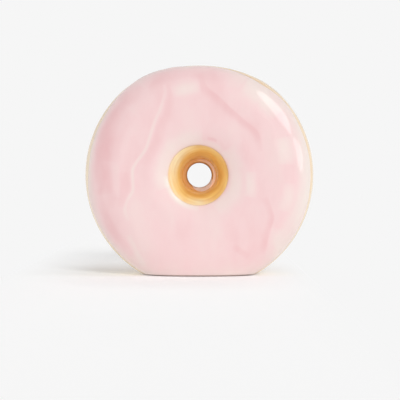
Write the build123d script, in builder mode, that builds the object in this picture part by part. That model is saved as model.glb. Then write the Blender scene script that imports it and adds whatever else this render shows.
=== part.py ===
from build123d import *
import math
import os

# Doughnut vase: a hollow clay ring standing on its edge, with a flat base, a flat lip and pink icing on its front.
# Millimetres. Z is up, the iced front faces -Y, and the origin is the middle of the base on the seam plane.

# Driving sizes
depth = 60.0  # clay ring, front to back
face_width = 18.0  # flat band between the ring's two rounded flanks
throat_radius = 12.0  # narrowest part of the clay hole, at the seam
wall = 6.5  # clay thickness behind the flats of the hollow
base_cut = 11.6  # how much of the rim the flat base takes off
lip_cut = 4.1  # how much of the rim the flat lip takes off
mouth_bevel = 1.0
slab_thickness = 3.0
foot_width = 2.2  # clay left round the slab under the base
throat_length = 15.0
icing_thickness = 1.6
icing_hole_radius = 23.4  # where the icing begins round the hole
icing_foot_gap = 1.2  # bare clay between the icing and the table
luting_gap = 0.15  # thin joint round a piece that sits in a seat or on a curve

flank_flat = 18.0  # a rounded flank is a row of conical flats, each over so many degrees

# Sizes that follow
flank = depth / 2
hole_flank_centre = throat_radius + flank
rim_flank_centre = hole_flank_centre + face_width
rim_radius = rim_flank_centre + flank
middle_radius = (throat_radius + rim_radius) / 2
axis_height = rim_radius - base_cut
lip_height = axis_height + rim_radius - lip_cut
clear = 2 * rim_radius  # longer than the vase, for the blocks that cut it
hollow_depth = depth - 2 * wall
hollow_width = rim_radius - throat_radius - 2 * wall
hollow_bevel = hollow_depth * (1 - math.sqrt(0.5))  # makes the hollow's flanks half an octagon
half_lip_length = math.sqrt(rim_radius**2 - (rim_radius - lip_cut) ** 2)
half_lip_depth = math.sqrt(flank**2 - (flank - lip_cut) ** 2)
half_base_length = math.sqrt(rim_radius**2 - (rim_radius - base_cut) ** 2)
half_base_depth = math.sqrt(flank**2 - (flank - base_cut) ** 2)
mouth_half_length = 0.68 * half_lip_length
mouth_half_depth = 0.58 * half_lip_depth
seat_half_length = half_base_length - foot_width
seat_half_depth = half_base_depth - foot_width
throat_ring_outer = throat_radius + wall / 2
throat_bore_radius = 0.8 * throat_radius

# Directions in the section, in degrees
quarter_turn = math.degrees(math.pi / 2)
hole_side = 2 * quarter_turn
front_side = 3 * quarter_turn
rim_side = 4 * quarter_turn
icing_start = hole_side + math.degrees(math.acos((hole_flank_centre - icing_hole_radius) / flank))
edge_taper = math.degrees(icing_thickness / flank)  # slope of the icing's edges

# Rim edge of the icing: direction round the ring from +X towards +Z, and degrees that it ends before the rim
icing_edge = [(0, 30), (45, 29), (90, 35), (130, 21), (175, 26), (220, 31), (270, 30), (320, 25)]

section_plane = Plane.XY.offset(axis_height)
seam_plane = Plane((0, 0, axis_height), x_dir=(1, 0, 0), z_dir=(0, -1, 0))
lip_plane = Plane.XY.offset(lip_height)
ring_axis = Axis((0, 0, axis_height), (0, 1, 0))


def polar(centre, radius, direction):
    """A point of the section, at a radius round a flank's centre."""
    angle = math.radians(direction)
    return (centre + radius * math.cos(angle), radius * math.sin(angle))


def flank_points(centre, radius, first, last):
    """Ends of the flats that make up a rounded flank, in line with the flats of the layer below."""
    corners = [hole_side + flat * flank_flat for flat in range(math.ceil(hole_side / flank_flat))]
    inner_corners = [corner for corner in corners if first < corner < last]
    return [polar(centre, radius, direction) for direction in (first, *inner_corners, last)]


def front_outline(radius, start, spread=0.0):
    """The front of the ring's section, from the hole over the flat band to the rim."""
    hole_flank = flank_points(hole_flank_centre - spread, radius, start, front_side)
    rim_flank = flank_points(rim_flank_centre + spread, radius, front_side, rim_side)
    return hole_flank + rim_flank


def edge_curve(radius, lean):
    """Closed curve along the icing's rim edge, at a radius round the flank's centre."""
    points = []
    for around, before_rim in icing_edge:
        reach, level = polar(rim_flank_centre, radius, rim_side - before_rim - lean)
        turn = math.radians(around)
        points.append((reach * math.cos(turn), level, axis_height + reach * math.sin(turn)))
    with BuildLine() as curve:
        Spline(*points, periodic=True)
    return curve.edges()[0]


# Front shell: half of the hollow ring, cut flat below and above, with half of the mouth and of the two seats
with BuildPart() as front_shell:
    with BuildSketch(section_plane):
        with BuildLine():
            Polyline(*front_outline(flank, hole_side), close=True)
        make_face()
    revolve(axis=ring_axis)
    with BuildSketch(section_plane) as hollow:
        with Locations((middle_radius, 0)):
            Rectangle(hollow_width, hollow_depth)
        chamfer(hollow.vertices(), hollow_bevel)
    revolve(axis=ring_axis, mode=Mode.SUBTRACT)
    with BuildSketch(Plane.XY):
        Rectangle(clear, clear)
    extrude(amount=-clear, mode=Mode.SUBTRACT)
    with BuildSketch(lip_plane):
        Rectangle(clear, clear)
    extrude(amount=clear, mode=Mode.SUBTRACT)
    with BuildSketch(lip_plane):
        Ellipse(mouth_half_length, mouth_half_depth)
    extrude(amount=-2 * wall, mode=Mode.SUBTRACT)
    with BuildSketch(Plane.XY):
        Ellipse(seat_half_length, seat_half_depth)
    extrude(amount=slab_thickness, mode=Mode.SUBTRACT)
    with BuildSketch(seam_plane):
        Circle(throat_ring_outer + luting_gap)
    extrude(amount=throat_length / 2, mode=Mode.SUBTRACT)
    lip_edges = front_shell.edges().filter_by(GeomType.ELLIPSE).group_by(Axis.Z)[-1]
    chamfer(lip_edges, mouth_bevel)
front_shell.part.label = "front_shell"

# Rear shell: the same half turned about, and joined to the front one along the seam
with BuildPart() as rear_shell:
    add(front_shell.part)
    mirror(about=Plane.XZ, mode=Mode.REPLACE)
rear_shell.part.label = "rear_shell"

# Throat ring: ties the halves together in the hole
with BuildPart() as throat_ring:
    with BuildSketch(seam_plane):
        Circle(throat_ring_outer)
        Circle(throat_bore_radius, mode=Mode.SUBTRACT)
    extrude(amount=throat_length / 2, both=True)
throat_ring.part.label = "throat_ring"

# Base slab: closes the flat cut under the ring
with BuildPart() as base_slab:
    with BuildSketch(Plane.XY):
        Ellipse(seat_half_length - luting_gap, seat_half_depth - luting_gap)
    extrude(amount=slab_thickness)
base_slab.part.label = "base_slab"

# Icing: a thick coat on the front, with a sloping edge round the hole and a wavy one towards the rim
with BuildPart() as icing:
    with BuildSketch(section_plane):
        with BuildLine():
            under = front_outline(flank, icing_start, spread=luting_gap)
            over = front_outline(flank + icing_thickness, icing_start + edge_taper)
            Polyline(*under, *reversed(over), close=True)
        make_face()
    revolve(axis=ring_axis)
    inside = edge_curve(flank - icing_thickness, -edge_taper)
    outside = edge_curve(flank + 2 * icing_thickness, 2 * edge_taper)
    split(bisect_by=Face.make_surface_from_curves(inside, outside), keep=Keep.BOTTOM)
    with BuildSketch(Plane.XY.offset(icing_foot_gap)):
        Rectangle(clear, clear)
    extrude(amount=-clear, mode=Mode.SUBTRACT)
icing.part.label = "icing"

os.makedirs("parts", exist_ok=True)
export_step(front_shell.part, "parts/front_shell.step")
export_step(rear_shell.part, "parts/rear_shell.step")
export_step(throat_ring.part, "parts/throat_ring.step")
export_step(base_slab.part, "parts/base_slab.step")
export_step(icing.part, "parts/icing.step")
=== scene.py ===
import math

import bmesh
import bpy
import numpy as np
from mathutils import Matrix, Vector


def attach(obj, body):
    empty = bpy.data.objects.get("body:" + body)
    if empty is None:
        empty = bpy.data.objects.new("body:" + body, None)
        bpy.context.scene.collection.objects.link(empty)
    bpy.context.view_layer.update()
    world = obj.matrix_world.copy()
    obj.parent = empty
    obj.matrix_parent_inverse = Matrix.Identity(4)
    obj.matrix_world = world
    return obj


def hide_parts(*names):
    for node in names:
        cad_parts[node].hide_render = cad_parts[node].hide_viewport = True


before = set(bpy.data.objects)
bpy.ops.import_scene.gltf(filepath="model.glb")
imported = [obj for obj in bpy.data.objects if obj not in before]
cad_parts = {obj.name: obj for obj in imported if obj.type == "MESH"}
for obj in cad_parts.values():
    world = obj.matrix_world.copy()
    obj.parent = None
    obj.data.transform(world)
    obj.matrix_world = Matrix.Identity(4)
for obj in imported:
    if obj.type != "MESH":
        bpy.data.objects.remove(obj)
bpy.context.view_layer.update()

# Doughnut vase. Metres. Z is up, the iced front faces -Y, and the axis of the hole runs along Y.

# Sizes of the clay ring, as in the CAD part
mm = 0.001
flank = 30 * mm
face_width = 18 * mm
throat_radius = 12 * mm
wall = 6.5 * mm
base_cut = 11.6 * mm
lip_cut = 4.1 * mm
foot_width = 2.2 * mm
slab_height = 3 * mm
throat_half_length = 7.5 * mm
icing_thickness = 1.6 * mm
icing_hole_radius = 23.4 * mm
icing_foot = 1.2 * mm
bore_share = 0.8  # of the throat's radius
mouth_length_share = 0.68  # of the flat lip's length
mouth_depth_share = 0.58  # of the flat lip's depth

# Roundings and clearances of the dressed pieces
hollow_floor = 2 * mm
base_rounding = 1.2 * mm
lip_rounding = 8 * mm
lip_rise = 1.3 * mm  # of the lip's curve over the flat lip, which the rounding takes off again
lip_curve = 130 * mm  # radius of the lip's shallow curve from left to right
mouth_rounding = 1.2 * mm
mouth_reach = 14 * mm  # from the lip down through the wall
throat_rounding = 2.2 * mm
throat_clearance = 0.1 * mm
seat_clearance = 0.05 * mm  # above the slab
cutter_overshoot = 4 * mm  # beyond the surface that is cut

# Icing
icing_lift = 0.05 * mm
icing_hole_shift = -0.8 * mm  # the icing's hole is a little off the ring's, to the left
hole_blend = 0.7 * mm  # how far the glaze below shows through the icing's edge at the hole
hole_edge_width = 2.4 * mm  # how far the icing's rounded edge round the hole reaches in
rim_edge_width = 2.4 * mm
foot_rounding = 1.4 * mm
foot_start = 0.1  # share of that rounding at which the icing is cut off level
stroke_relief = 0.12 * mm
stroke_edge = 3  # the higher, the more sudden a stroke's edge
thin_reach = 6.5 * mm  # how far the glaze is thin and pale beside the icing's rim edge
thin_paleness = 0.32
foot_reach = 7 * mm  # the same above the icing's foot
foot_paleness = 0.24

# Rim edge of the icing: direction round the ring from +X towards +Z, and degrees that it ends before the rim
icing_edge = [
    (0, 30), (22, 30), (40, 27), (57, 34.5), (94, 34), (105, 25), (117, 19), (130, 23),
    (152, 29), (175, 31), (197, 26), (215, 27), (242, 25), (298, 24), (320, 25),
]

# How finely the pieces are divided
clay_turns = 360
clay_rows = 72
throat_turns = 180
icing_turns = 480
icing_rows = 100
edge_rows = 8
under_rows = 12
cutter_turns = 120
rounding_rows = 9
merge_distance = 0.001 * mm  # points nearer than this become one after a cut
sharp_edge = 50  # degrees between faces from which an edge shows as sharp
icing_sharp_edge = 80

# Brush strokes of the icing, some of them painted highlights, reflections and light as marked below: path in
# millimetres right of and above the hole's axis, half width to the left and to the right of the path as it
# runs, and how pale the stroke is, below zero for deeper pink
strokes = [
    # Pale vein down the left side, with deeper pink beside it, and its end near the base
    ([(-27, 69), (-26, 63), (-29, 53), (-34, 41), (-38, 29), (-41, 20), (-48, 10), (-51, 4),
      (-51, -4), (-51, -12), (-55, -19), (-57, -27), (-54, -35)], 1.3, 1.3, 0.20),
    ([(-21, 66), (-25, 50), (-31, 36), (-36, 22), (-44, 8)], 5.0, 2.0, -0.08),
    ([(-54, -45), (-49, -56), (-41, -70)], 1.6, 3.0, 0.12),
    # Deeper pink laps on the right side, from the top and towards the base
    ([(1, 78), (4, 69), (7, 65), (15, 59), (21, 53), (30, 45),
      (36, 40), (44, 33), (47, 25), (48, 18)], 1.2, 4.5, -0.13),
    ([(24, 50), (33, 42), (42, 35), (46, 26)], 4.0, 3.0, -0.06),
    ([(51, -16), (55, -27), (56, -33), (54, -40), (51, -51), (49, -61)], 1.2, 3.5, -0.16),
    # Small marks above, right of and below the hole
    ([(6, 29), (10, 28.5), (14, 27)], 1.0, 1.4, -0.12),
    # Painted light on the shaded flank above and right of the hole
    ([(1, 25), (9, 24.5), (16, 20), (22, 13)], 2.5, 2.5, 0.17),
    ([(32, 7), (34, -3), (33, -14)], 2.5, 2.0, -0.06),
    ([(39, 3), (39, -8), (38, -17)], 5.0, 3.0, 0.19),
    ([(26, -54), (32, -58), (38, -62)], 2.0, 3.0, -0.10),
    # Left side: pale patches and the deep shoulder, whose deeper pink is partly painted shade on the side
    # turned from the light
    ([(-52, 55), (-51, 42), (-48, 30)], 6.0, 7.0, 0.04),
    ([(-64, 8), (-63, -6), (-64, -17)], 3.0, 3.0, 0.10),
    ([(-45, 70), (-62, 52), (-72, 32), (-75, 8), (-73, -15)], 7.0, 7.0, -0.27),
    # Right side: pale patches, painted reflection beside the highlights of the lamps on the right
    ([(34, 69), (50, 58), (61, 47)], 7.0, 8.0, 0.28),
    ([(63, 29), (65, 18), (65, 8)], 7.0, 5.0, 0.21),
    ([(69, -6), (68, -17), (65, -28)], 4.0, 5.0, 0.18),
    # Pale halo round the hole: thin glaze, and painted light that lifts the shade on the hole's flanks
    ([(3, 27), (-9, 26), (-20, 19), (-26, 8), (-27, -3), (-25, -10)], 4.0, 8.0, 0.32),
    ([(12, -26), (24, -15), (28, -4), (27, 8), (20, 20)], 4.0, 8.0, 0.26),
    # Top: a deeper band and below it a pale patch, a painted reflection of a window
    ([(-42, 69), (-22, 76), (0, 77), (26, 74)], 5.0, 4.0, -0.10),
    ([(-21, 63), (-11, 65), (1, 67)], 5.0, 4.0, 0.20),
    # Pale right shoulder, down to the base: painted sheen along the flank that faces the light
    ([(62, 56), (73, 40), (80, 18), (81, -4), (77, -24), (68, -42), (58, -56)], 5.0, 6.0, 0.22),
    ([(59, -40), (57, -52), (52, -64)], 6.0, 4.0, 0.14),
    # Left shoulder: deeper bands, partly painted shade on the side turned from the light, and a pale line by
    # the rim
    ([(-58, 3), (-57, -11), (-59, -25)], 4.0, 4.0, -0.12),
    ([(-50, 47), (-59, 37), (-65, 24), (-68, 10)], 6.0, 5.0, -0.15),
    ([(-78, -10), (-74, -27), (-68, -39), (-60, -51), (-50, -61)], 4.0, 4.0, -0.14),
    ([(-60, 60), (-74, 43), (-81, 25), (-83, 8)], 3.0, 3.0, 0.15),
    # Painted highlight on the edge of the hole, below on the left
    ([(-25, 0), (-24, -7), (-22, -12), (-19, -16.5),
      (-14.5, -20.5), (-8.5, -23.5), (0, -25)], 2.0, 3.2, 0.42),
]

# Waves in the hand-laid icing: direction in degrees, wavelength, height and phase
ripples = [
    (20, 31 * mm, 0.035 * mm, 0.4),
    (75, 38 * mm, 0.035 * mm, 2.1),
    (130, 27 * mm, 0.035 * mm, 4.0),
    (165, 45 * mm, 0.035 * mm, 5.2),
    (50, 13 * mm, 0.022 * mm, 1.0),
    (112, 16 * mm, 0.026 * mm, 2.7),
    (4, 11 * mm, 0.018 * mm, 5.5),
]

# Random patterns: where they begin and how they are turned, so that their grid doesn't follow the axes
noise_shift = (0.137, 0.071, 0.213)
noise_turn = (0.5, 0.9, 0.3)
noise_low = 0.3  # nearly all of a pattern's values lie between these
noise_high = 0.7

# Glazes
glaze_ior = 1.55
icing_stretch = (1.0, 1.0, 0.55)  # makes the icing's clouds longer upwards
cloud_paleness = 0.09
lap_paleness = 0.025
lap_low = 0.46  # values of the pattern between which a lap of the icing ends
lap_high = 0.56
plain_pink = 0.5  # place of the icing's usual colour between its deepest and its palest
dough_centre = (1.6 * mm, 0.4 * mm)  # of the dough's rings of colour, right of and above the hole's axis, so that the left of the hole is paler: painted light
dough_wander = 1.2 * mm  # of those rings
dough_lines = 450  # brush lines in a metre
front_streaks = 0.40
rear_streaks = 0.18
highlight_start = 17.8 * mm  # radius from which the painted highlights in the hole show, and where they show in full
highlight_full = 20.4 * mm
bare_foot = 0.9 * mm  # the dough's glaze is wiped off up to here, and full from the next height on
glazed_foot = 1.6 * mm
bare_roughness = 0.75
bare_centre = (1.7 * mm, -4.7 * mm)  # of the throat's bare place, right of and above the hole's axis
bare_reach = 7.8 * mm
bare_end = 8.4 * mm
bare_wander = 0.4 * mm
throat_lines = 900  # brush lines in a metre
bore_shade_width = 1.7 * mm  # of the painted shade round the bore
bore_shade_share = 0.85
glint_start = 10.7 * mm  # radius at which the painted highlight on the throat's edge begins, and where it shows in full
glint_full = 11.3 * mm
glint_left = -2 * mm  # it is faint left of here and strong right of the next place
glint_right = 8 * mm
faint_glint = 0.05
strong_glint = 0.85
throat_glaze_roughness = 0.18
throat_clay_roughness = 0.6
speck_start = 0.68  # value of the pattern from which the slab's dark specks show, and where they show in full
speck_full = 0.74
speck_share = 0.6

# Light: a name, where it comes from, its strength, how wide it looks in degrees and whether it glints
suns = [
    ("side_light", Vector((0.733, -0.276, 0.622)).normalized(), 0.56, 30, True),
    ("low_side_light", Vector((0.95, -0.22, 0.20)).normalized(), 0.22, 22, True),
    ("front_light", Vector((0.40, -0.82, 0.39)).normalized(), 1.31, 15, False),
    ("left_fill", Vector((-0.94, -0.33, 0.06)).normalized(), 1.80, 90, False),
    ("rear_fill", Vector((0.25, 0.85, 0.30)).normalized(), 0.50, 90, False),
]
ambient = 0.22

# Floor: pale, with the object's shadow near it, and the backdrop's colour farther away
floor_half = 6.0
floor_colour = 0.94
shadow_reach = 0.30
fade_reach = 0.75
shadow_sides = (-0.085, 0.044)  # left and right of these the shadow fades
fade_sides = (-0.150, 0.085)  # and here it is gone
floor_dimming = 0.085  # allows for the light that the vase and the wide lamps throw on the floor
painted_base_shadow = 0.24  # the floor's glow is lower still close to the base: painted shadow, which also offsets the light the vase throws there
base_reach = 0.03
clear_reach = 0.15
floor_bounce = 0.6  # share of the floor's glow that lights the vase from below

# Camera
camera_sensor = 36
camera_lens = 113.8
camera_distance = 1.0
camera_right = 0.5 * mm
aim_drop = 19.6 * mm  # below the hole's axis

# Directions in the ring's section
hole_side = math.pi
front_side = 1.5 * math.pi
rim_side = 2 * math.pi


def half_chord(radius, depth):
    """Half the length of the flat that is left where so much is cut off a round."""
    return math.sqrt(radius**2 - (radius - depth) ** 2)


# Sizes that follow
hole_centre = throat_radius + flank
rim_radius = hole_centre + face_width + flank
axis_height = rim_radius - base_cut
lip_height = axis_height + rim_radius - lip_cut
throat_outer = throat_radius + wall / 2
throat_bore = bore_share * throat_radius
lip_half = (half_chord(rim_radius, lip_cut), half_chord(flank, lip_cut))
base_half = (half_chord(rim_radius, base_cut), half_chord(flank, base_cut))
mouth_half = (mouth_length_share * lip_half[0], mouth_depth_share * lip_half[1])
seat_half = (base_half[0] - foot_width, base_half[1] - foot_width)


def smooth_least(a, b, rounding):
    """The lesser of two values, with a rounded change from one to the other."""
    blend = np.maximum(rounding - np.abs(a - b), 0) / rounding
    return np.minimum(a, b) - blend * blend * rounding / 4


def smooth_most(a, b, rounding):
    """The greater of two values, with a rounded change from one to the other."""
    return -smooth_least(-a, -b, rounding)


def rounded(share):
    """Height of a quarter round over a share from 0 to 1."""
    return np.sqrt(1 - (1 - np.clip(share, 0, 1)) ** 2)


def section_length(start, end):
    """Length of the ring's section between two directions, along the clay."""
    return (end - start) * flank + face_width


def ring_points(length, start, radius, turn, side=1):
    """Points of the ring: a length along the section, a radius round the flank and a turn.

    Side 1 is the front and side -1 the rear.
    """
    hole_arc = (front_side - start) * flank
    centre = hole_centre + np.clip(length - hole_arc, 0, face_width)
    bend = np.minimum(length, hole_arc) + np.maximum(length - hole_arc - face_width, 0)
    angle = start + bend / flank
    reach = centre + radius * np.cos(angle)
    level = side * radius * np.sin(angle)
    points = np.broadcast_arrays(reach * np.cos(turn), level, axis_height + reach * np.sin(turn))
    return np.stack(points, axis=-1)


def all_turns(count):
    """Evenly spaced turns round the ring, as one row."""
    return np.linspace(0, math.tau, count, endpoint=False)[None, :]


def change_mesh(mesh, change):
    """Runs a function on the editable form of a mesh."""
    shape = bmesh.new()
    shape.from_mesh(mesh)
    change(shape)
    shape.to_mesh(mesh)
    shape.free()


def face_outwards(shape):
    """Turns all faces outwards."""
    bmesh.ops.recalc_face_normals(shape, faces=shape.faces)


def close_ends(shape):
    """Closes the open ends of a tube."""
    bmesh.ops.holes_fill(shape, edges=shape.edges)
    face_outwards(shape)


def drop_slivers(shape):
    """Takes out doubled points and faces without area."""
    bmesh.ops.remove_doubles(shape, verts=shape.verts, dist=merge_distance)
    bmesh.ops.dissolve_degenerate(shape, edges=shape.edges, dist=merge_distance)


def grid_piece(name, loops, closed_rows):
    """A mesh from rings of points, one ring for each row."""
    rows, columns = loops.shape[:2]
    faces = []
    for row in range(rows if closed_rows else rows - 1):
        above = (row + 1) % rows
        for column in range(columns):
            beside = (column + 1) % columns
            faces.append((
                row * columns + column,
                row * columns + beside,
                above * columns + beside,
                above * columns + column,
            ))
    mesh = bpy.data.meshes.new(name)
    mesh.from_pydata(loops.reshape(-1, 3).tolist(), [], faces)
    change_mesh(mesh, face_outwards)
    piece = bpy.data.objects.new(name, mesh)
    bpy.context.scene.collection.objects.link(piece)
    return piece


def smooth(piece, sharp_degrees=sharp_edge):
    """Smooth shading, apart from edges sharper than an angle."""
    for face in piece.data.polygons:
        face.use_smooth = True
    piece.data.set_sharp_from_angle(angle=math.radians(sharp_degrees))


def cut(piece, cutter):
    """Takes the cutter's space out of a piece and deletes the cutter."""
    trim = piece.modifiers.new("cut", "BOOLEAN")
    trim.operation = "DIFFERENCE"
    trim.solver = "EXACT"
    trim.object = cutter
    bpy.context.view_layer.update()
    evaluated = piece.evaluated_get(bpy.context.evaluated_depsgraph_get())
    mesh = bpy.data.meshes.new_from_object(evaluated)
    change_mesh(mesh, drop_slivers)
    piece.modifiers.clear()
    piece.data = mesh
    bpy.data.objects.remove(cutter)


def trim_below(piece, height):
    """Cuts a piece off level at a height and closes it there."""

    def trim(shape):
        everything = shape.verts[:] + shape.edges[:] + shape.faces[:]
        made = bmesh.ops.bisect_plane(
            shape, geom=everything, plane_co=(0, 0, height), plane_no=(0, 0, -1), clear_outer=True
        )
        rim = [part for part in made["geom_cut"] if isinstance(part, bmesh.types.BMEdge)]
        bmesh.ops.contextual_create(shape, geom=rim)
        face_outwards(shape)

    change_mesh(piece.data, trim)


def lip_fall(x):
    """How far the lip's shallow curve falls beside its middle."""
    return x**2 / (2 * lip_curve)


def lip_shaped(x, height):
    """A height that is held under the curved lip, with a rounded change."""
    return smooth_least(height, lip_height + lip_rise - lip_fall(x), lip_rounding)


def lip_drop(points):
    """How far the rounded lip lies below points of the plain ring."""
    return points[..., 2] - lip_shaped(points[..., 0], points[..., 2])


def oval_cutter(name, half, steps):
    """A closed upright cutter with an oval plan. A step is a height and how much wider the oval is there."""
    turn = math.tau * (np.arange(cutter_turns) + 0.5) / cutter_turns
    loops = []
    for height, wider in steps:
        x = (half[0] + wider) * np.cos(turn)
        y = (half[1] + wider) * np.sin(turn)
        loops.append(np.stack([x, y, np.full_like(x, height)], axis=-1))
    cutter = grid_piece(name, np.array(loops), closed_rows=False)
    change_mesh(cutter.data, close_ends)
    return cutter


def mouth_cutter():
    """The mouth's space, which flares to a rounded lip."""
    steps = [(lip_height - mouth_reach, 0)]
    for angle in np.linspace(0, math.pi / 2, rounding_rows):
        height = lip_height - mouth_rounding * (1 - math.sin(angle))
        steps.append((height, mouth_rounding * (1 - math.cos(angle))))
    steps.append((lip_height + cutter_overshoot, 2 * mouth_rounding))
    cutter = oval_cutter("mouth_cutter", mouth_half, steps)
    for vertex in cutter.data.vertices:
        vertex.co.z -= lip_fall(vertex.co.x)
    return cutter


def seat_cutter():
    """The space that the base slab fills."""
    steps = [(-cutter_overshoot, 0), (slab_height + seat_clearance, 0)]
    return oval_cutter("seat_cutter", seat_half, steps)


def clay_half(name, side, glaze, inner_glaze):
    """Half of the hollow clay ring, with its rounded base and lip and its half of the mouth and the seat."""
    length = np.linspace(0, section_length(hole_side, rim_side), clay_rows)[:, None]
    outer = ring_points(length, hole_side, flank, all_turns(clay_turns), side)
    inner = ring_points(length[::-1], hole_side, flank - wall, all_turns(clay_turns), side)
    outer[..., 2] = lip_shaped(outer[..., 0], outer[..., 2])
    outer[..., 2] = smooth_most(outer[..., 2], 0, base_rounding)
    inner[..., 2] = np.maximum(inner[..., 2], hollow_floor)
    half = grid_piece(name, np.concatenate([outer, inner]), closed_rows=True)
    half.data.materials.append(glaze)
    half.data.materials.append(inner_glaze)
    inner_faces = range(clay_rows * clay_turns, (2 * clay_rows - 1) * clay_turns)
    for face in inner_faces:
        half.data.polygons[face].material_index = 1
    cut(half, mouth_cutter())
    cut(half, seat_cutter())
    smooth(half)
    return half


def edge_before_rim(turn):
    """How many degrees before the rim the icing ends, with smooth changes between the stated places."""
    places = [place for place, before in icing_edge] + [360]
    befores = [before for place, before in icing_edge] + [icing_edge[0][1]]
    degrees = np.degrees(turn) % 360
    position = np.interp(degrees, places, range(len(places)))
    first = np.minimum(position.astype(int), len(places) - 2)
    share = position - first
    share = share * share * (3 - 2 * share)
    befores = np.array(befores, float)
    return befores[first] * (1 - share) + befores[first + 1] * share


def smooth_path(path, pieces=5):
    """Points along a smooth curve through the path's points."""
    points = np.array([path[0], *path, path[-1]], float)
    curve = []
    for before, a, b, after in zip(points, points[1:], points[2:], points[3:]):
        for share in np.linspace(0, 1, pieces, endpoint=False):
            line = a + (b - a) * share
            bend_a = (b - before) / 2 - (b - a)
            bend_b = (after - a) / 2 - (b - a)
            bow = bend_a * (1 - share) - bend_b * share
            curve.append(line + share * (1 - share) * bow)
    curve.append(points[-1])
    return np.array(curve)


def stroke_field(x, z):
    """How pale the brush strokes and the painted light make each point of the icing, below zero where they
    are deeper pink.
    """
    field = np.zeros_like(x)
    for path, left_width, right_width, paleness in strokes:
        line = smooth_path(path) * mm
        nearest = np.full_like(x, np.inf)
        along = np.zeros_like(x)
        width = np.zeros_like(x)
        for step, (a, b) in enumerate(zip(line, line[1:])):
            run = b - a
            share = np.clip(((x - a[0]) * run[0] + (z - a[1]) * run[1]) / run.dot(run), 0, 1)
            gap = np.hypot(x - a[0] - share * run[0], z - a[1] - share * run[1])
            on_left = run[0] * (z - a[1]) > run[1] * (x - a[0])
            width = np.where(gap < nearest, np.where(on_left, left_width, right_width) * mm, width)
            along = np.where(gap < nearest, (step + share) / (len(line) - 1), along)
            nearest = np.minimum(gap, nearest)
        taper = np.sqrt(np.clip(np.sin(math.pi * along), 0, 1))
        field += paleness * taper * np.exp(-((nearest / width) ** stroke_edge))
    return field


def ripple_field(x, z):
    """How far the waves of the icing's surface rise."""
    field = np.zeros_like(x)
    for degrees, wavelength, height, phase in ripples:
        across = x * math.cos(math.radians(degrees)) + z * math.sin(math.radians(degrees))
        field += height * np.sin(math.tau * across / wavelength + phase)
    return field


def icing_lengths(whole):
    """Where the icing's rows lie along the section, close together by the hole and by the rim."""
    near_edge = (1 - np.cos(np.linspace(0, math.pi / 2, edge_rows + 1)))[:, None]
    middle = np.linspace(0, 1, icing_rows)[1:-1, None]
    by_hole = np.repeat(hole_edge_width * near_edge, icing_turns, axis=1)
    between = hole_edge_width + (whole - hole_edge_width - rim_edge_width) * middle
    by_rim = whole - rim_edge_width * near_edge[::-1]
    return np.concatenate([by_hole, between, by_rim])


def icing_piece():
    """The icing: a hand-laid coat on the clay with rounded edges."""
    turn = all_turns(icing_turns)
    begins = icing_hole_radius + icing_hole_shift * np.cos(turn)
    start = hole_side + np.arccos((hole_centre - begins) / flank)
    whole = section_length(start, rim_side - np.radians(edge_before_rim(turn)))
    length = icing_lengths(whole)
    clay = ring_points(length, start, flank, turn)
    x = clay[..., 0]
    z = clay[..., 2] - axis_height
    # The strokes include painted highlights, reflections and light.
    coat = stroke_field(x, z) + thin_paleness * np.exp(-(whole - length) / thin_reach)
    coat += foot_paleness * np.exp(-np.maximum(clay[..., 2] - icing_foot, 0) / foot_reach)
    edge_share = rounded(np.minimum(length / hole_edge_width, (whole - length) / rim_edge_width))
    foot_share = rounded(foot_start + (clay[..., 2] - icing_foot) / foot_rounding)
    thickness = icing_thickness + ripple_field(x, z) - stroke_relief * coat
    over = ring_points(length, start, flank + icing_lift + thickness * edge_share * foot_share, turn)
    under_length = whole * np.linspace(1, 0, under_rows)[:, None]
    under = ring_points(under_length, start, flank + icing_lift / 2, turn)
    over[..., 2] -= lip_drop(clay)
    under[..., 2] -= lip_drop(under)
    icing = grid_piece("icing_coat", np.concatenate([over, under]), closed_rows=True)
    unseen = np.zeros_like(under_length)
    for name, shown in (("coat", coat), ("thin", np.exp(-length / hole_blend))):
        values = np.concatenate([shown, unseen])
        layer = icing.data.attributes.new(name, "FLOAT", "POINT")
        layer.data.foreach_set("value", values.astype(np.float32).ravel())
    trim_below(icing, icing_foot)
    smooth(icing, icing_sharp_edge)
    return icing


def throat_piece():
    """The ring in the throat, with rounded edges."""
    angle = np.linspace(math.pi / 2, 0, rounding_rows)
    reach = throat_bore + throat_rounding * (1 - np.cos(angle))
    level = throat_half_length - throat_rounding * (1 - np.sin(angle))
    front_edge = list(zip(reach, -level))
    rear_edge = list(zip(reach, level))[::-1]
    outside = throat_outer - throat_clearance
    outline = [(outside, throat_half_length), (outside, -throat_half_length)] + front_edge + rear_edge
    turn = all_turns(throat_turns)[0]
    loops = []
    for radius, depth in outline:
        x = radius * np.cos(turn)
        z = axis_height + radius * np.sin(turn)
        loops.append(np.stack([x, np.full_like(x, depth), z], axis=-1))
    ring = grid_piece("throat_band", np.array(loops), closed_rows=True)
    smooth(ring)
    return ring


def paint(red, green, blue):
    """A colour given as it shows on a screen, from 0 to 255."""
    linear = []
    for value in (red / 255, green / 255, blue / 255):
        linear.append(value / 12.92 if value <= 0.04045 else ((value + 0.055) / 1.055) ** 2.4)
    return (*linear, 1)


def set_input(tree, socket, value):
    """Gives a socket a value or joins another node's output to it."""
    if isinstance(value, bpy.types.NodeSocket):
        tree.links.new(value, socket)
    else:
        socket.default_value = value


def add_node(tree, kind, inputs=None, **settings):
    """A new node with its settings. An input is a value or another node's output."""
    made = tree.nodes.new(kind)
    for name, value in settings.items():
        setattr(made, name, value)
    for socket, value in (inputs or {}).items():
        set_input(tree, made.inputs[socket], value)
    return made


def calculate(tree, operation, a, b=0.0):
    """A sum, product or other reckoning of two values."""
    return add_node(tree, "ShaderNodeMath", {0: a, 1: b}, operation=operation).outputs[0]


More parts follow.
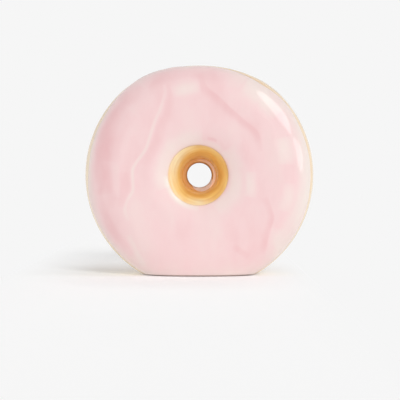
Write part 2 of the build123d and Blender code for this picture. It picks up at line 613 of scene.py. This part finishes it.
def calculate_vector(tree, operation, a, b=(0, 0, 0)):
    """A sum, difference or product of two vectors, or a vector of length 1 in the first one's direction."""
    return add_node(tree, "ShaderNodeVectorMath", {0: a, 1: b}, operation=operation).outputs["Vector"]


def length_of(tree, vector):
    """A vector's length."""
    return add_node(tree, "ShaderNodeVectorMath", {0: vector}, operation="LENGTH").outputs["Value"]


def part_of(tree, vector, axis):
    """One of a vector's three parts."""
    return add_node(tree, "ShaderNodeSeparateXYZ", {0: vector}).outputs[axis]


def rescale(tree, value, low, high, to_low, to_high):
    """A value moved from one range to another and held inside it."""
    inputs = {"Value": value, "From Min": low, "From Max": high, "To Min": to_low, "To Max": to_high}
    return add_node(tree, "ShaderNodeMapRange", inputs).outputs[0]


def noise(tree, vector, waves, detail=2.0):
    """Soft random values from 0 to 1, with so many waves in a metre."""
    inputs = {"Vector": vector, "Location": noise_shift, "Rotation": noise_turn}
    turned = add_node(tree, "ShaderNodeMapping", inputs)
    inputs = {"Vector": turned.outputs[0], "Scale": waves, "Detail": detail}
    return add_node(tree, "ShaderNodeTexNoise", inputs).outputs[0]


def patchy(tree, vector, waves, low, high, detail=2.0):
    """A value that changes softly between two others over the surface."""
    return rescale(tree, noise(tree, vector, waves, detail), noise_low, noise_high, low, high)


def wandering(tree, vector, waves, reach):
    """A soft random shift to and fro, by so far at most."""
    return rescale(tree, noise(tree, vector, waves), 0.0, 1.0, -reach, reach)


def ramp(tree, value, stops):
    """A colour for each value. A stop is a place from 0 to 1 and a colour."""
    made = add_node(tree, "ShaderNodeValToRGB", {0: value})
    elements = made.color_ramp.elements
    while len(elements) < len(stops):
        elements.new(0.5)
    for element, (place, colour) in zip(elements, stops):
        element.position = place
        element.color = colour
    return made.outputs[0]


def mix_colours(tree, share, first, second, blend="MIX"):
    """Two colours mixed by a share from 0 to 1."""
    made = add_node(tree, "ShaderNodeMix", data_type="RGBA", blend_type=blend)
    for socket, value in (("Factor_Float", share), ("A_Color", first), ("B_Color", second)):
        target = next(one for one in made.inputs if one.identifier == socket)
        set_input(tree, target, value)
    return next(one for one in made.outputs if one.identifier == "Result_Color")


def new_material(name):
    """A material with its node tree and its surface shader."""
    material = bpy.data.materials.new(name)
    material.use_nodes = True
    tree = material.node_tree
    return material, tree, tree.nodes["Principled BSDF"]


def finish_shader(tree, shader, place, colour, roughness, skin_waves, skin_height):
    """Gives a surface its colour, its roughness and a fine uneven skin."""
    tree.links.new(colour, shader.inputs["Base Color"])
    tree.links.new(roughness, shader.inputs["Roughness"])
    skin = noise(tree, place, skin_waves, detail=3.0)
    relief = add_node(tree, "ShaderNodeBump", {"Height": skin, "Distance": skin_height, "Strength": 1.0})
    tree.links.new(relief.outputs[0], shader.inputs["Normal"])


def place_of(tree):
    """The point on the surface, in the part's frame."""
    return add_node(tree, "ShaderNodeTexCoord").outputs["Object"]


def from_axis(tree, place, right=0.0, above=0.0):
    """The arm from the hole's axis, or from so far right of and above it, to a point, and its length."""
    offset = calculate_vector(tree, "SUBTRACT", place, (right, 0, axis_height + above))
    arm = calculate_vector(tree, "MULTIPLY", offset, (1, 0, 1))
    return arm, length_of(tree, arm)


def brush_lines(tree, arm, radius, lines_per_metre):
    """Fine streaks that run round the ring, from 0 to 1."""
    heading = calculate_vector(tree, "NORMALIZE", arm)
    step = add_node(tree, "ShaderNodeCombineXYZ", {1: calculate(tree, "MULTIPLY", radius, lines_per_metre)})
    return noise(tree, calculate_vector(tree, "ADD", heading, step.outputs[0]), waves=1.0, detail=3.0)


def icing_material():
    """Glossy pink glaze: brush strokes and painted light from the mesh, soft clouds and a fine uneven skin.
    """
    material, tree, shader = new_material("pink_icing")
    place = place_of(tree)
    # The coat attribute holds the strokes, painted highlights and painted light among them.
    coat = add_node(tree, "ShaderNodeAttribute", attribute_name="coat").outputs["Fac"]
    thin = add_node(tree, "ShaderNodeAttribute", attribute_name="thin").outputs["Fac"]
    stretched = calculate_vector(tree, "MULTIPLY", place, icing_stretch)
    clouds = patchy(tree, stretched, waves=42.0, low=-cloud_paleness, high=cloud_paleness, detail=3.0)
    folds = noise(tree, stretched, waves=36.0, detail=4.0)
    laps = rescale(tree, folds, lap_low, lap_high, -lap_paleness, lap_paleness)
    brushed = calculate(tree, "ADD", calculate(tree, "ADD", clouds, laps), plain_pink)
    pink = ramp(tree, calculate(tree, "ADD", coat, brushed), [
        (0.0, paint(228, 166, 170)),
        (plain_pink, paint(241, 208, 208)),
        (1.0, paint(240, 232, 223)),
    ])
    glaze_below = paint(252, 218, 160)
    colour = mix_colours(tree, thin, pink, glaze_below)
    roughness = patchy(tree, place, waves=60.0, low=0.05, high=0.10)
    shader.inputs["IOR"].default_value = glaze_ior
    finish_shader(tree, shader, place, colour, roughness, skin_waves=420.0, skin_height=0.02 * mm)
    return material


def dough_material(name, streaks, stops, highlight_spots=()):
    """Glossy ochre glaze with brush streaks and a bare foot, which changes from the hole to the rim.

    A stop is a radius and a colour. A highlight spot is a painted highlight in the hole: how far it lies
    right of and above the hole's axis, how far it reaches and how strong it is.
    """
    material, tree, shader = new_material(name)
    place = place_of(tree)
    arm, radius = from_axis(tree, place, *dough_centre)
    wander = wandering(tree, place, waves=90.0, reach=dough_wander)
    share = calculate(tree, "DIVIDE", calculate(tree, "ADD", radius, wander), rim_radius)
    glaze = ramp(tree, share, [(reach / rim_radius, colour) for reach, colour in stops])
    outer = rescale(tree, radius, highlight_start, highlight_full, 0.0, 1.0)
    highlight_colour = paint(255, 240, 196)
    # Painted highlights: pale spots in the hole.
    for right, above, reach, strength in highlight_spots:
        away = from_axis(tree, place, right, above)[1]
        highlight = calculate(tree, "MULTIPLY", outer, rescale(tree, away, 0.0, reach, strength, 0.0))
        glaze = mix_colours(tree, highlight, glaze, highlight_colour)
    brushed = brush_lines(tree, arm, radius, dough_lines)
    lines = rescale(tree, brushed, noise_low, noise_high, 0.0, streaks)
    streaked = mix_colours(tree, lines, glaze, paint(214, 150, 80), "MULTIPLY")
    bare = rescale(tree, part_of(tree, place, "Z"), bare_foot, glazed_foot, 1.0, 0.0)
    colour = mix_colours(tree, bare, streaked, paint(222, 204, 196))
    gloss = patchy(tree, place, waves=80.0, low=0.08, high=0.16)
    matt = calculate(tree, "MULTIPLY", bare, bare_roughness)
    roughness = calculate(tree, "MAXIMUM", gloss, matt)
    shader.inputs["IOR"].default_value = glaze_ior
    finish_shader(tree, shader, place, colour, roughness, skin_waves=420.0, skin_height=0.02 * mm)
    return material


def liner_material():
    """Off-white glaze inside the hollow, a little thin in places."""
    material, tree, shader = new_material("liner_glaze")
    place = place_of(tree)
    colour = ramp(tree, noise(tree, place, waves=45.0, detail=4.0), [
        (0.35, paint(238, 230, 216)),
        (0.65, paint(226, 214, 194)),
    ])
    roughness = patchy(tree, place, waves=120.0, low=0.25, high=0.4)
    finish_shader(tree, shader, place, colour, roughness, skin_waves=300.0, skin_height=0.03 * mm)
    return material


def throat_material():
    """Brown ochre glaze with painted shade round the bore and a painted highlight on its edge to the right,
    that leaves a place bare below.
    """
    material, tree, shader = new_material("throat_glaze")
    place = place_of(tree)
    arm, radius = from_axis(tree, place)
    glaze = ramp(tree, brush_lines(tree, arm, radius, throat_lines), [
        (noise_low, paint(200, 132, 62)),
        (noise_high, paint(232, 168, 94)),
    ])
    # Painted shade: darker round the bore.
    bore_shade = rescale(tree, radius, throat_bore, throat_bore + bore_shade_width, bore_shade_share, 0.0)
    glaze = mix_colours(tree, bore_shade, glaze, paint(146, 88, 48))
    # Painted highlight on the throat's front edge, strong on the right.
    edge = rescale(tree, radius, glint_start, glint_full, 0.0, 1.0)
    glint_share = rescale(tree, part_of(tree, place, "X"), glint_left, glint_right, faint_glint, strong_glint)
    glaze = mix_colours(tree, calculate(tree, "MULTIPLY", edge, glint_share), glaze, paint(250, 206, 176))
    clay = ramp(tree, noise(tree, place, waves=400.0), [
        (noise_low, paint(206, 176, 162)),
        (noise_high, paint(224, 196, 182)),
    ])
    away = from_axis(tree, place, *bare_centre)[1]
    wander = wandering(tree, place, waves=160.0, reach=bare_wander)
    bare = rescale(tree, calculate(tree, "ADD", away, wander), bare_reach, bare_end, 1.0, 0.0)
    colour = mix_colours(tree, bare, glaze, clay)
    roughness = rescale(tree, bare, 0.0, 1.0, throat_glaze_roughness, throat_clay_roughness)
    finish_shader(tree, shader, place, colour, roughness, skin_waves=600.0, skin_height=0.03 * mm)
    return material


def clay_material():
    """Unglazed clay with small dark specks and a fine grain."""
    material, tree, shader = new_material("bare_clay")
    place = place_of(tree)
    body = ramp(tree, noise(tree, place, waves=70.0, detail=4.0), [
        (noise_low, paint(214, 198, 174)),
        (noise_high, paint(232, 219, 199)),
    ])
    grains = noise(tree, place, waves=1500.0, detail=1.0)
    specks = rescale(tree, grains, speck_start, speck_full, 0.0, speck_share)
    colour = mix_colours(tree, specks, body, paint(150, 118, 86))
    roughness = patchy(tree, place, waves=300.0, low=0.7, high=0.85)
    finish_shader(tree, shader, place, colour, roughness, skin_waves=1200.0, skin_height=0.06 * mm)
    return material


# Pieces and their materials
front_dough = dough_material("dough_glaze_front", front_streaks, [
    (12 * mm, paint(246, 190, 104)),
    (15 * mm, paint(250, 198, 109)),
    (18 * mm, paint(252, 208, 122)),
    (20.5 * mm, paint(252, 214, 134)),
    (24 * mm, paint(253, 224, 162)),
    (80 * mm, paint(240, 196, 128)),
    (88 * mm, paint(252, 235, 204)),
], [
    # Painted highlights in the hole, upper left and below.
    (-18 * mm, 9 * mm, 22 * mm, 1.2),
    (0, -21 * mm, 12 * mm, 1.1),
])
rear_dough = dough_material("dough_glaze_rear", rear_streaks, [
    (12 * mm, paint(190, 116, 54)),
    (22 * mm, paint(218, 152, 78)),
    (50 * mm, paint(232, 176, 100)),
    (76 * mm, paint(236, 188, 116)),
    (83 * mm, paint(244, 214, 162)),
    (88 * mm, paint(252, 235, 204)),
])
liner = liner_material()
front = clay_half("clay_front", 1, front_dough, liner)
rear = clay_half("clay_rear", -1, rear_dough, liner)
icing = icing_piece()
icing.data.materials.append(icing_material())
throat = throat_piece()
throat.data.materials.append(throat_material())
for piece, slot, node in [
    (front, "dough_glaze", "front_shell"),
    (rear, "dough_glaze", "rear_shell"),
    (icing, "pink_icing", "icing"),
    (throat, "throat_glaze", "throat_ring"),
]:
    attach(piece, "root")
    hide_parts(node)
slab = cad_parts["base_slab"]
slab.data.materials.clear()
slab.data.materials.append(clay_material())

# Lamps
for name, source, strength, width, glints in suns:
    lamp = bpy.data.lights.new(name, "SUN")
    lamp.energy = strength
    lamp.angle = math.radians(width)
    sun = bpy.data.objects.new(name, lamp)
    sun.location = source
    sun.visible_glossy = glints
    sun.rotation_euler = (-source).to_track_quat("-Z", "Y").to_euler()
    bpy.context.scene.collection.objects.link(sun)


def grey(level):
    """A colour without a hue."""
    return (level, level, level, 1)


def sees_backdrop(tree):
    """1 for a ray from the camera, a reflection or a clear material, and 0 for the light on the object."""
    ray = add_node(tree, "ShaderNodeLightPath")
    mirror = calculate(tree, "MAXIMUM", ray.outputs["Is Glossy Ray"], ray.outputs["Is Transmission Ray"])
    return calculate(tree, "MAXIMUM", ray.outputs["Is Camera Ray"], mirror)


def mix_shaders(tree, share, first, second):
    """Two shaders mixed by a share from 0 to 1."""
    inputs = {0: share, 1: first.outputs[0], 2: second.outputs[0]}
    return add_node(tree, "ShaderNodeMixShader", inputs).outputs[0]


# World: even light on the object, and a pale backdrop where it is seen
backdrop = paint(246, 246, 246)[0]
world = bpy.data.worlds.new("studio")
world.use_nodes = True
bpy.context.scene.world = world
sky = world.node_tree
light = sky.nodes["Background"]
light.inputs["Color"].default_value = grey(1)
light.inputs["Strength"].default_value = ambient
pale = add_node(sky, "ShaderNodeBackground", {"Color": grey(backdrop), "Strength": 1.0})
sky_shader = mix_shaders(sky, sees_backdrop(sky), light, pale)
sky.links.new(sky_shader, sky.nodes["World Output"].inputs["Surface"])

# Floor's plane
corners = [(-floor_half, -floor_half, 0), (floor_half, -floor_half, 0)]
corners += [(floor_half, floor_half, 0), (-floor_half, floor_half, 0)]
floor_mesh = bpy.data.meshes.new("floor")
floor_mesh.from_pydata(corners, [], [(0, 1, 2, 3)])
floor = bpy.data.objects.new("floor", floor_mesh)
bpy.context.scene.collection.objects.link(floor)

# Floor's material: paper with a faint glow, which brings the lit paper up to the backdrop's brightness
sunlight = sum(strength * source.z / math.pi for name, source, strength, width, glints in suns)
floor_glow = backdrop - floor_colour * (ambient + sunlight)
floor_material = bpy.data.materials.new("floor")
floor_material.use_nodes = True
ground = floor_material.node_tree
ground.nodes.remove(ground.nodes["Principled BSDF"])
ground_place = place_of(ground)
distance = length_of(ground, ground_place)
seen = sees_backdrop(ground)
# Painted shadow near the base.
dimming = rescale(ground, distance, base_reach, clear_reach, painted_base_shadow, floor_dimming)
dimmed = calculate(ground, "SUBTRACT", floor_glow, dimming)
glowing = calculate(ground, "MAXIMUM", seen, floor_bounce)
glow_strength = calculate(ground, "MULTIPLY", glowing, dimmed)
paper = add_node(ground, "ShaderNodeBsdfDiffuse", {"Color": grey(floor_colour)})
glow = add_node(ground, "ShaderNodeEmission", {"Color": grey(1), "Strength": glow_strength})
near = add_node(ground, "ShaderNodeAddShader", {0: paper.outputs[0], 1: glow.outputs[0]})
far = add_node(ground, "ShaderNodeEmission", {"Color": grey(backdrop), "Strength": 1.0})
faded = rescale(ground, distance, shadow_reach, fade_reach, 0.0, 1.0)
across = part_of(ground, ground_place, "X")
for shadow_side, fade_side in zip(shadow_sides, fade_sides):
    beside = rescale(ground, across, shadow_side, fade_side, 0.0, 1.0)
    faded = calculate(ground, "MAXIMUM", faded, beside)
floor_shader = mix_shaders(ground, calculate(ground, "MULTIPLY", faded, seen), near, far)
ground.links.new(floor_shader, ground.nodes["Material Output"].inputs["Surface"])
floor.data.materials.append(floor_material)

# Camera at the photograph's place
camera_data = bpy.data.cameras.new("camera")
camera_data.sensor_width = camera_sensor
camera_data.lens = camera_lens
camera = bpy.data.objects.new("camera", camera_data)
camera.location = (camera_right, -camera_distance, axis_height)
aim = Vector((camera_right, 0, axis_height - aim_drop))
camera.rotation_euler = (aim - camera.location).to_track_quat("-Z", "Y").to_euler()
bpy.context.scene.collection.objects.link(camera)
bpy.context.scene.camera = camera
bpy.context.scene.view_settings.view_transform = "Standard"
